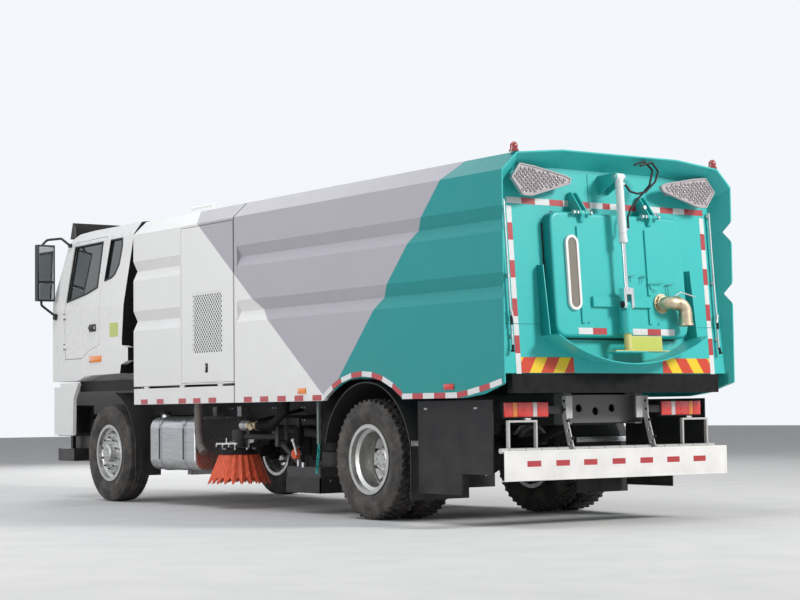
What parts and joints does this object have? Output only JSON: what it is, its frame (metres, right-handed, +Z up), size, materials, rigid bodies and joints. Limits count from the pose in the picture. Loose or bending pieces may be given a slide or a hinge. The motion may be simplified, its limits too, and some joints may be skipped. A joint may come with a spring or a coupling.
{
  "type": "road sweeper truck",
  "caption": "Two-axle cab-over road sweeper with a tipping waste tank, hinged tail door, side brushes on swing arms and a suction nozzle between the axles.",
  "frame": {"origin": "on the ground, under the centre of the bounding box", "axes": "+X to the truck's left, +Y to its tail, +Z up; the cab faces -Y"},
  "size_m": [2.92, 8.5772, 3.1249],
  "materials": {
    "paint_white": "smooth gloss enamel",
    "paint_turquoise": "smooth gloss enamel",
    "paint_grey": "satin enamel",
    "chassis_paint": "satin enamel",
    "engine_iron": "cast",
    "wheel_paint": "satin silver enamel",
    "tyre_rubber": "matt",
    "black_plastic": "grained",
    "seat_fabric": "woven",
    "steel_rod": "polished",
    "zinc_steel": "brushed",
    "aluminium_tank": "satin",
    "window_glass": "tinted",
    "lamp_lens": "clear coated",
    "amber_lens": "clear coated",
    "brush_orange": "bristle",
    "hydraulic_hose": "smooth"
  },
  "bodies": {
    "chassis": {"frame": "chassis_paint", "engine": "engine_iron", "front_axle": "chassis_paint", "springs": "chassis_paint", "rear_axle": "chassis_paint", "fuel_tank": "aluminium_tank", "side_boxes": "black_plastic", "air_reservoirs": "chassis_paint", "air_intake": "black_plastic", "front_mudguards": "black_plastic", "rear_mudguards": "black_plastic", "side_panels": "paint_turquoise", "rear_bumper": "paint_white", "lamps": "lamp_lens", "front_bumper": "paint_white", "housing": "paint_white", "aux_engine": "engine_iron"},
    "cab": {"cab_shell": "paint_white", "cab_glass": "window_glass", "cab_interior": "seat_fabric", "cab_trim": "black_plastic", "mirrors": "black_plastic"},
    "tank": {"tank": "paint_turquoise", "underframe": "chassis_paint", "lock_rods": "zinc_steel", "beacons": "amber_lens", "arrow_boards": "black_plastic"},
    "tail_door": {"tail_door": "paint_turquoise", "sight_glass": "window_glass", "drain_elbow": "paint_turquoise"},
    "door_barrel": {"door_barrel": "paint_turquoise", "pipes": "hydraulic_hose"},
    "door_rod": {"door_rod": "steel_rod"},
    "tip_barrels": {"tip_barrels": "chassis_paint"},
    "tip_rods": {"tip_rods": "steel_rod"},
    "nozzle": {"nozzle": "paint_grey"},
    "cab_door_left": {"cab_door_left": "paint_white", "door_glass_left": "window_glass"},
    "housing_door_left": {"housing_door_left": "paint_grey"},
    "skirt_flap_left": {"skirt_flap_left": "paint_white"},
    "knuckle_left": {"knuckle_left": "chassis_paint"},
    "front_wheel_left": {"tyre_front_left": "tyre_rubber", "wheel_front_left": "wheel_paint"},
    "rear_wheel_left": {"tyres_rear_left": "tyre_rubber", "wheel_rear_left": "wheel_paint"},
    "brush_arm_left": {"brush_arm_left": "chassis_paint"},
    "brush_head_left": {"brush_head_left": "paint_grey"},
    "brush_left": {"brush_left": "brush_orange"},
    "cab_door_right": {"cab_door_right": "paint_white", "door_glass_right": "window_glass"},
    "housing_door_right": {"housing_door_right": "paint_grey"},
    "skirt_flap_right": {"skirt_flap_right": "paint_white"},
    "knuckle_right": {"knuckle_right": "chassis_paint"},
    "front_wheel_right": {"tyre_front_right": "tyre_rubber", "wheel_front_right": "wheel_paint"},
    "rear_wheel_right": {"tyres_rear_right": "tyre_rubber", "wheel_rear_right": "wheel_paint"},
    "brush_arm_right": {"brush_arm_right": "chassis_paint"},
    "brush_head_right": {"brush_head_right": "paint_grey"},
    "brush_right": {"brush_right": "brush_orange"}
  },
  "joints": [
    {"name": "cab_tilt", "type": "hinge", "parent": "chassis", "child": "cab", "pos_m": [0, -4.0532, 0.78], "axis": [1, 0, 0], "range_deg": [0, 50]},
    {"name": "tank_tip", "type": "hinge", "parent": "chassis", "child": "tank", "pos_m": [0, 3.8088, 1.1], "axis": [-1, 0, 0], "range_deg": [0, 45]},
    {"name": "tail_door_swing", "type": "hinge", "parent": "tank", "child": "tail_door", "pos_m": [0, 4.10121, 2.51973], "axis": [1, 0, 0], "range_deg": [0, 70]},
    {"name": "door_ram_swing", "type": "hinge", "parent": "tank", "child": "door_barrel", "pos_m": [0.04, 4.14996, 2.82721], "axis": [1, 0, 0], "range_deg": [0, 55]},
    {"name": "door_ram_stroke", "type": "slide", "parent": "door_barrel", "child": "door_rod", "axis": [0, 0.0713, -0.9975], "range_m": [-0.24, 0]},
    {"name": "tipping_ram_swing", "type": "hinge", "parent": "chassis", "child": "tip_barrels", "pos_m": [0, 1.4968, 0.8], "axis": [1, 0, 0], "range_deg": [0, 27]},
    {"name": "tipping_ram_stroke", "type": "slide", "parent": "tip_barrels", "child": "tip_rods", "axis": [0, 0.9738, 0.2272], "range_m": [0, 0.73]},
    {"name": "nozzle_lower", "type": "hinge", "parent": "chassis", "child": "nozzle", "pos_m": [0, 0.1568, 0.64], "axis": [-1, 0, 0], "range_deg": [0, 10.5]},
    {"name": "cab_door_left_swing", "type": "hinge", "parent": "cab", "child": "cab_door_left", "pos_m": [1.225, -3.8932, 2], "axis": [0, 0, -1], "range_deg": [0, 70]},
    {"name": "housing_door_left_swing", "type": "hinge", "parent": "chassis", "child": "housing_door_left", "pos_m": [1.235, -1.0702, 2], "axis": [0, 0, -1], "range_deg": [0, 90]},
    {"name": "skirt_flap_left_lift", "type": "hinge", "parent": "chassis", "child": "skirt_flap_left", "pos_m": [1.242, -1.0832, 1.21], "axis": [0, -1, 0], "range_deg": [0, 90]},
    {"name": "steer_left", "type": "hinge", "parent": "chassis", "child": "knuckle_left", "pos_m": [0.858, -2.8532, 0.521], "axis": [0, 0, 1], "range_deg": [-38, 38]},
    {"name": "front_wheel_left_spin", "type": "hinge", "parent": "knuckle_left", "child": "front_wheel_left", "pos_m": [1.052, -2.8532, 0.521], "axis": [1, 0, 0], "continuous": true},
    {"name": "rear_wheels_left_spin", "type": "hinge", "parent": "chassis", "child": "rear_wheel_left", "pos_m": [1.062, 2.1468, 0.521], "axis": [1, 0, 0], "continuous": true},
    {"name": "brush_arm_left_swing", "type": "hinge", "parent": "chassis", "child": "brush_arm_left", "pos_m": [0.56, 0.0268, 0.7], "axis": [0, 0, 1], "range_deg": [0, 30]},
    {"name": "brush_head_left_lower", "type": "hinge", "parent": "brush_arm_left", "child": "brush_head_left", "pos_m": [0.64544, -0.11436, 0.7], "axis": [0.8555, 0.5178, 0], "range_deg": [0, 17]},
    {"name": "brush_left_spin", "type": "hinge", "parent": "brush_head_left", "child": "brush_left", "pos_m": [0.905, -0.5432, 0.5], "axis": [0, 0, 1], "continuous": true},
    {"name": "cab_door_right_swing", "type": "hinge", "parent": "cab", "child": "cab_door_right", "pos_m": [-1.225, -3.8932, 2], "axis": [0, 0, 1], "range_deg": [0, 70]},
    {"name": "housing_door_right_swing", "type": "hinge", "parent": "chassis", "child": "housing_door_right", "pos_m": [-1.235, -1.0702, 2], "axis": [0, 0, 1], "range_deg": [0, 90]},
    {"name": "skirt_flap_right_lift", "type": "hinge", "parent": "chassis", "child": "skirt_flap_right", "pos_m": [-1.242, -1.0832, 1.21], "axis": [0, 1, 0], "range_deg": [0, 90]},
    {"name": "steer_right", "type": "hinge", "parent": "chassis", "child": "knuckle_right", "pos_m": [-0.858, -2.8532, 0.521], "axis": [0, 0, 1], "range_deg": [-38, 38]},
    {"name": "front_wheel_right_spin", "type": "hinge", "parent": "knuckle_right", "child": "front_wheel_right", "pos_m": [-1.052, -2.8532, 0.521], "axis": [1, 0, 0], "continuous": true},
    {"name": "rear_wheels_right_spin", "type": "hinge", "parent": "chassis", "child": "rear_wheel_right", "pos_m": [-1.062, 2.1468, 0.521], "axis": [1, 0, 0], "continuous": true},
    {"name": "brush_arm_right_swing", "type": "hinge", "parent": "chassis", "child": "brush_arm_right", "pos_m": [-0.56, 0.0268, 0.7], "axis": [0, 0, -1], "range_deg": [0, 30]},
    {"name": "brush_head_right_lower", "type": "hinge", "parent": "brush_arm_right", "child": "brush_head_right", "pos_m": [-0.64544, -0.11436, 0.7], "axis": [0.8555, -0.5178, 0], "range_deg": [0, 17]},
    {"name": "brush_right_spin", "type": "hinge", "parent": "brush_head_right", "child": "brush_right", "pos_m": [-0.905, -0.5432, 0.5], "axis": [0, 0, 1], "continuous": true}
  ],
  "couplings": [
    {"joint": "steer_right", "follows": "steer_left", "ratio": 1},
    {"joint": "door_ram_swing", "follows": "tail_door_swing", "ratio": 0.76123},
    {"joint": "door_ram_stroke", "follows": "tail_door_swing", "m_per_rad": -0.1889},
    {"joint": "tipping_ram_swing", "follows": "tank_tip", "ratio": 0.59426},
    {"joint": "tipping_ram_stroke", "follows": "tank_tip", "m_per_rad": 0.91794}
  ]
}
